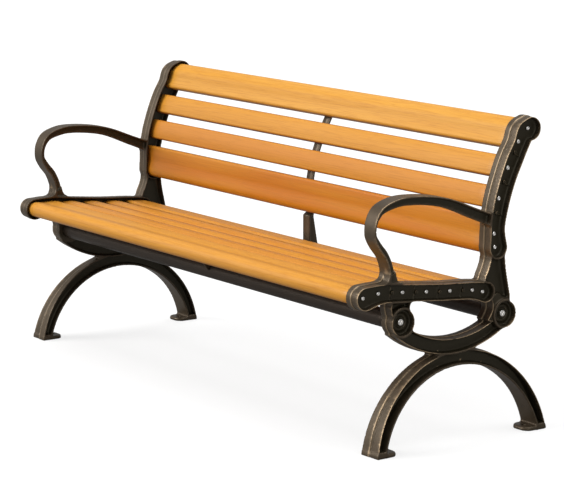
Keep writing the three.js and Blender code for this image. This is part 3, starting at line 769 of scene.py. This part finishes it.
# Shaped board: it follows the curve and swells into a roll at the curve's own end.
def wideSection(curve, plainEnd, rollAtStart):
    run = runOf(curve)[-1]
    rollAt, away = (0.0, 1) if rollAtStart else (run, -1)
    reach = abs(plainEnd - rollAt)
    big = readCurve(curve, rollAt)[0][0, 2] - slats["rollClearance"]
    r = slats["edge"]
    corner = np.linspace(0, np.pi / 2, 8)
    d = np.r_[np.linspace(0, reach - r, 46), reach - r + r * np.sin(corner[1:])]
    at, tan = readCurve(curve, rollAt + away * d)
    t = np.clip((slats["rollLength"] - d) / slats["rollLength"], 0, 1)
    half = slats["half"] + (big - slats["half"]) * t * t * (3 - 2 * t)
    half = half - np.maximum(0, r - np.sqrt(np.maximum(r ** 2 - np.maximum(d - reach + r, 0) ** 2, 0)))
    normal = np.stack([-tan[:, 1], tan[:, 0]], 1)
    left, right = at[:, :2] + normal * half[:, None], at[:, :2] - normal * half[:, None]
    sweep = np.linspace(0, np.pi, 26)[1:-1, None]
    cap = at[0, :2] + big * (np.cos(sweep) * normal[0] - away * np.sin(sweep) * tan[0])
    return np.vstack([cap, right, left[::-1]])


# Points that turn away from the given facing get painted shade: a darker red-brown on the board's sides and
# underside.
def sweepBoard(name, ring, facing, turnsAt, toneAndSheen, shift):
    length, chamfer = casting["slatEnd"], slats["endChamfer"]
    inner = pulledIn(ring, chamfer)
    away = (pulledIn(ring, -1.0) - ring) @ (np.array(facing) / np.hypot(*facing))
    under = np.clip((turnsAt - away) / 0.6, 0, 1)
    middle = np.linspace(-length + chamfer, length - chamfer, 31)
    stations = [(-length, inner)] + [(x, ring) for x in middle] + [(length, inner)]
    verts = np.vstack([np.column_stack([np.full(len(ring), x), section]) for x, section in stations])
    count = len(ring)
    faces = ringFaces(len(stations), count).tolist()
    faces = facingOut(verts, faces + endFaces(len(verts), count))
    layers = {"boardToneAndSheen": np.full(len(verts), toneAndSheen), "boardShift": np.full(len(verts), shift),
              "boardUnderShade": np.tile(under, len(stations))}
    makePiece(name + "_board", verts, faces, wood, [name], layers)


def makeSlats():
    sections = {
        "seat_slat_front": wideSection(seatCurve, frontEdge, True),
        "seat_slat_2": narrowSection(seatCurve, seatMiddles[0]),
        "seat_slat_3": narrowSection(seatCurve, seatMiddles[1]),
        "seat_slat_4": narrowSection(seatCurve, seatMiddles[2]),
        "seat_slat_rear": wideSection(seatCurve, rearEdge, False),
        "back_slat_bottom": wideSection(backCurve, bottomEdge, True),
        "back_slat_2": narrowSection(backCurve, backMiddles[0]),
        "back_slat_3": narrowSection(backCurve, backMiddles[1]),
        "back_slat_top": wideSection(backCurve, topEdge, False),
    }
    # Share of pale per slat: a little random tone among the seat slats, more painted sheen on the seat's
    # front slat, painted sheen growing up the back, and painted shade on the lowest back slat.
    tonesAndSheen = [0.75, 0.5, 0.55, 0.45, 0.5, 0.05, 0.4, 0.75, 1.0]
    for i, (name, ring) in enumerate(sections.items()):
        wide = name.endswith(("front", "rear", "bottom", "top"))
        # facing is the direction in which each board is treated as lit; surfaces turned away from it get
        # painted shade.
        if name.startswith("back"):
            facing = (-0.93, 0.36)
        elif name.endswith("front"):
            facing = (-0.9, 0.43)
        else:
            facing = (-0.1, 1.0)
        sweepBoard(name, ring, facing, 0.4 if wide else 0.88, tonesAndSheen[i], 0.37 * i)
    print("slats made:", len(sections))


# ---- turned pieces: a profile of radius and height spun round its axis ----
# Rings past socketFrom are hexagons, for the key.
def spun(profile, count, socketFrom=99, closed=False):
    angle = np.linspace(0, 2 * np.pi, count, endpoint=False)
    hexagon = np.cos(np.pi / 6) / np.cos(angle % (np.pi / 3) - np.pi / 6)
    rings = []
    for k, (r, h) in enumerate(profile):
        radius = r * (hexagon if k >= socketFrom else np.ones(count))
        height = np.full(count, float(h))
        rings.append(np.column_stack([radius * np.cos(angle), radius * np.sin(angle), height]))
    verts = np.vstack(rings)
    if closed:
        faces = (ringFaces(len(profile) + 1, count) % len(verts)).tolist()
    else:
        faces = ringFaces(len(profile), count).tolist() + endFaces(len(verts), count)
    return verts, facingOut(verts, faces)


# Points turned so that their own Z runs along a direction, then moved to a place.
def aimed(verts, direction, place):
    turn = np.array(Vector(direction).to_track_quat("Z", "Y").to_matrix())
    return verts @ turn.T + np.asarray(place, float)


screws = {
    "seat": 757.8,           # underside of the heads, along X
    "socketFrom": 9,         # the profile point where the hexagon starts
    "bolt": [(4.2, -47), (5, -46), (5, 0), (8, 0), (8.5, 0.5), (8.5, 3.9), (8.1, 5.4), (7.2, 6.4),
             (6, 6.9), (4.9, 7), (4.4, 6.6), (4.2, 3.2), (1.6, 2.8)],
    "slatScrew": [(1.6, -37.5), (2.5, -35), (2.5, 0), (5.1, 0), (5.5, 0.4), (5.5, 1.3), (4.9, 2.5),
                  (3.8, 3.3), (2.9, 3.6), (2.5, 3.3), (2.4, 1.4), (1, 1.2)],
    "supportScrew": [(1.2, -20.5), (2, -18), (2, 0), (3.7, 0), (4, 0.3), (4, 0.9), (3.4, 1.8), (2.4, 2.3),
                     (2, 2.4), (1.8, 2.1), (1.7, 1.1), (0.7, 1)],
    "supportAside": 9.0,
    "supportInset": 16.0,
    "supportBack": 18.8,
}


def slatScrewSpots():
    wide = (
        (seatCurve, 0.0, 1, "longScrewPitch"),
        (seatCurve, seatRun, -1, "shortScrewPitch"),
        (backCurve, 0.0, 1, "shortScrewPitch"),
        (backCurve, backRun, -1, "longScrewPitch"),
    )
    front, rear, bottom, top = (readCurve(curve, [end, end + away * slats[pitch]])[0][:, :2]
                                for curve, end, away, pitch in wide)
    seat = readCurve(seatCurve, seatMiddles)[0][:, :2]
    back = readCurve(backCurve, backMiddles)[0][:, :2]
    return np.vstack([front, seat, rear, bottom, back, top])


# A turn about Z.
def spin(angle):
    c, s = math.cos(angle), math.sin(angle)
    return np.array([[c, s, 0], [-s, c, 0], [0, 0, 1]])


def fitFasteners():
    boltVerts, boltFaces = spun(screws["bolt"], 48, screws["socketFrom"])
    screwVerts, screwFaces = spun(screws["slatScrew"], 24, screws["socketFrom"])
    for end, side in (("right", 1), ("left", -1)):
        for i, (y, z) in enumerate(slatScrewSpots()):
            spot = (side * screws["seat"], y, z)
            turned = aimed(screwVerts @ spin(0.4 * i), (side, 0, 0), spot)
            makePiece(f"slat_screw_{end}_{i + 1}_head", turned, screwFaces, steel,
                      [f"slat_screw_{end}_{i + 1}"])
        for which, boss in (("front", frontBoss), ("rear", rearBoss)):
            spot = (side * screws["seat"], saddleY + boss[0], saddleZ + boss[1])
            turned = aimed(boltVerts, (side, 0, 0), spot)
            makePiece(f"{which}_stretcher_bolt_{end}_head", turned, boltFaces, steel,
                      [f"{which}_stretcher_bolt_{end}"])
    backVerts, backFaces = spun(screws["supportScrew"], 20, screws["socketFrom"])
    inset = screws["supportInset"]
    spots = {
        "seat_slat_front": (seatCurve, frontEdge - inset),
        "seat_slat_2": (seatCurve, seatMiddles[0]),
        "seat_slat_3": (seatCurve, seatMiddles[1]),
        "seat_slat_4": (seatCurve, seatMiddles[2]),
        "seat_slat_rear": (seatCurve, rearEdge + inset),
        "back_slat_bottom": (backCurve, bottomEdge - inset),
        "back_slat_2": (backCurve, backMiddles[0]),
        "back_slat_3": (backCurve, backMiddles[1]),
        "back_slat_top": (backCurve, topEdge + inset),
    }
    for name, (curve, s) in spots.items():
        at, tan = readCurve(curve, s)
        out = np.array([0, tan[0, 1], -tan[0, 0]])
        place = np.array([screws["supportAside"], *at[0, :2]]) + out * screws["supportBack"]
        makePiece(f"support_screw_{name}_head", aimed(backVerts, out, place), backFaces, steel,
                  ["support_screw_" + name])
    print("fasteners fitted")


# ---- stretchers: round tubes with broken edges ----
tube = {"gap": 0.3, "wall": 3, "bevel": 0.7, "ringInset": 30}


def makeStretchers():
    reach = casting["inboard"] - tube["gap"]
    outer, bevel = casting["stretcherRadius"], tube["bevel"]
    inner = outer - tube["wall"]
    profile = [(inner, -reach), (outer - bevel, -reach), (outer, -reach + bevel)]
    profile += [(outer, x) for x in np.linspace(-reach + tube["ringInset"], reach - tube["ringInset"], 9)]
    profile += [(outer, reach - bevel), (outer - bevel, reach), (inner, reach)]
    verts, faces = spun(profile, 72, closed=True)
    for which, boss in (("front", frontBoss), ("rear", rearBoss)):
        placed = aimed(verts, (1, 0, 0), (0, saddleY + boss[0], saddleZ + boss[1]))
        makePiece(which + "_stretcher_tube", placed, faces, tubeFinish,
                  [which + "_stretcher"])
        for end in ("right", "left"):
            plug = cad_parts[f"{which}_stretcher_plug_{end}"]
            plug.data.materials.clear()
            plug.data.materials.append(tubeFinish)
    print("stretchers made")


# ---- centre support: a strip that the slats rest on, stiffened by a rib behind and below ----
support = {
    "drop": 13.2,            # rest line below the slats' centre line
    "halfWidth": 15.0,
    "flange": 5.0,
    "halfRib": 3.0,
    "ribDepth": 14.0,
    "upperPast": 14.0,       # how far the rest line runs past the rolls, on the back and on the seat
    "lowerPast": 8.0,
    "lowerShy": 6.0,         # and how far short of the rear roll it stops
    "ribPoints": 11,         # points of the seat's rest line that the rib follows
    "bossClearance": 0.4,
    "voxel": 1.5,
    "quickVoxel": 2.4,
}
supportPost = [(150, 252), (152, 232), (144, 217), (131, 207), (131, 124), (118, 112), (84, 112)]
supportHeel = [(60, 98), (112, 84), (182, 84), (166, 135), (154, 203), (162, 240)]
supportNose = [(-204, 138), (-176, 96), (-122, 96), (-110, 120)]


# A polyline moved sideways, to the left of its travel.
def sideLine(line, distance):
    step = np.diff(line, axis=0)
    normal = np.stack([-step[:, 1], step[:, 0]], 1) / np.hypot(*step.T)[:, None]
    joint = np.vstack([normal[:1], (normal[:-1] + normal[1:]) / 2, normal[-1:]])
    return line + joint * distance / (joint ** 2).sum(1)[:, None]


def restLine(curve, first, last):
    at, tan = readCurve(curve, np.linspace(first, last, 17))
    return at[:, :2] + np.stack([tan[:, 1], -tan[:, 0]], 1) * support["drop"]


def makeSupport():
    size = support["voxel"]
    post, heel, nose = (np.array(points, float) + [saddleY, saddleZ]
                        for points in (supportPost, supportHeel, supportNose))
    roll = slats["rollLength"]
    upper = restLine(backCurve, backRun - roll, roll + support["upperPast"])
    lower = restLine(seatCurve, seatRun - roll + support["lowerShy"], roll + support["lowerPast"])
    front = np.vstack([upper, post, lower])
    strip = np.vstack([front, sideLine(front, support["flange"])[::-1]])
    underSeat = sideLine(lower[:support["ribPoints"]], support["ribDepth"])[::-1]
    behindBack = sideLine(upper, support["ribDepth"])[::-1]
    plate = np.vstack([front, nose, underSeat, heel, behindBack])
    low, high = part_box("centre_support")
    wide = support["halfWidth"]
    start = np.array([-wide, low.y / mm, low.z / mm]) - 3 * size
    stop = np.array([wide, high.y / mm, high.z / mm]) + 3 * size
    x, y, z = np.meshgrid(*(np.arange(a, b + size, size) for a, b in zip(start, stop)), indexing="ij")
    strip2, plate2 = (polygonField(p, y[0], z[0])[None] for p in (strip, plate))
    body = meet(strip2, np.abs(x) - wide, 1.8)
    rib = meet(plate2, np.abs(x) - support["halfRib"], 1.5)
    body = union(body, rib, 5)
    body = np.maximum(body, np.abs(x) - wide)
    for boss in (frontBoss, rearBoss):
        ring = discField(boss, casting["stretcherRadius"] + support["bossClearance"], y[0], z[0])[None]
        body = meet(body, -ring, 1.2)
    points, faces, normals, bend = surfaceOf(body, start, size, 0.05)
    makePiece("cast_centre_support", points, faces, castFinish, ["centre_support"],
              {"bend": bend}, normals)
    print("centre support:", sum(len(f) - 2 for f in faces), "triangles")


castEndFrames()
makeSlats()
fitFasteners()
makeStretchers()
makeSupport()


# ---- floor, light and camera ----
studio = {
    "eye": (5.0616, -3.4954, 1.4709),
    "heading": -54.897,      # degrees from +Y towards +X
    "dip": 10.366,
    "roll": 0.053,
    "lens": 155.69,
    "ambient": 0.4,
    "floorTone": 0.24,
    "floorGlow": 0.73,
    "floorHalf": 30.0,
}


# A pale floor that glows a little, so that shadows on it stay faint and little light comes back up.
def floorFinish():
    made, tree, shader = material("studioFloor")
    shader.inputs["Base Color"].default_value = (studio["floorTone"],) * 3 + (1,)
    shader.inputs["Roughness"].default_value = 0.9
    shader.inputs["Specular IOR Level"].default_value = 0.0
    shader.inputs["Emission Color"].default_value = (1, 1, 1, 1)
    seen = node(tree, "ShaderNodeLightPath").outputs["Is Camera Ray"]
    tree.links.new(maths(tree, "MULTIPLY", seen, studio["floorGlow"]), shader.inputs["Emission Strength"])
    return made


# A broad source far away, which lights the floor evenly.
def addLight(name, fromWhere, strength, spread, colour=(1, 1, 1)):
    data = bpy.data.lights.new(name, "SUN")
    data.angle = math.radians(spread)
    data.energy = strength
    data.color = colour
    lamp = bpy.data.objects.new(name, data)
    bpy.context.scene.collection.objects.link(lamp)
    lamp.matrix_world = Vector(fromWhere).to_track_quat("Z", "Y").to_matrix().to_4x4()


def setStudio():
    half = studio["floorHalf"]
    floor = bpy.data.meshes.new("studio_floor")
    corners = [(-half, -half, 0), (half, -half, 0), (half, half, 0), (-half, half, 0)]
    floor.from_pydata(corners, [], [(0, 1, 2, 3)])
    floor.materials.append(floorFinish())
    plane = bpy.data.objects.new("studio_floor", floor)
    bpy.context.scene.collection.objects.link(plane)

    world = bpy.data.worlds.new("studio")
    bpy.context.scene.world = world
    world.use_nodes = True
    tree = world.node_tree
    sky = tree.nodes["Background"]
    sky.inputs["Color"].default_value = (1.0, 1.0, 1.0, 1)
    seen = node(tree, "ShaderNodeLightPath").outputs["Is Camera Ray"]
    strength = maths(tree, "MULTIPLY_ADD", seen, 1.0 - studio["ambient"], studio["ambient"])
    tree.links.new(strength, sky.inputs["Strength"])
    addLight("keyLight", (-2.2, -4.6, 2.6), 3.1, 40, (1.0, 0.985, 0.96))
    addLight("topLight", (0.0, 0.4, 4.0), 2.6, 60)
    addLight("cameraFill", (5.0, -2.0, 2.0), 0.45, 40)

    heading, dip, roll = (math.radians(studio[k]) for k in ("heading", "dip", "roll"))
    level = math.cos(dip)
    forward = Vector((math.sin(heading) * level, math.cos(heading) * level, -math.sin(dip)))
    right = forward.cross(Vector((0, 0, 1))).normalized()
    up = right.cross(forward)
    across = right * math.cos(roll) + up * math.sin(roll)
    above = up * math.cos(roll) - right * math.sin(roll)
    data = bpy.data.cameras.new("benchCamera")
    data.sensor_width = 36.0
    data.lens = studio["lens"]
    data.clip_end = 200
    camera = bpy.data.objects.new("benchCamera", data)
    bpy.context.scene.collection.objects.link(camera)
    turn = Matrix((across, above, -forward)).transposed().to_4x4()
    camera.matrix_world = Matrix.Translation(studio["eye"]) @ turn
    bpy.context.scene.camera = camera
    bpy.context.scene.view_settings.view_transform = "Standard"


setStudio()
print("studio set")
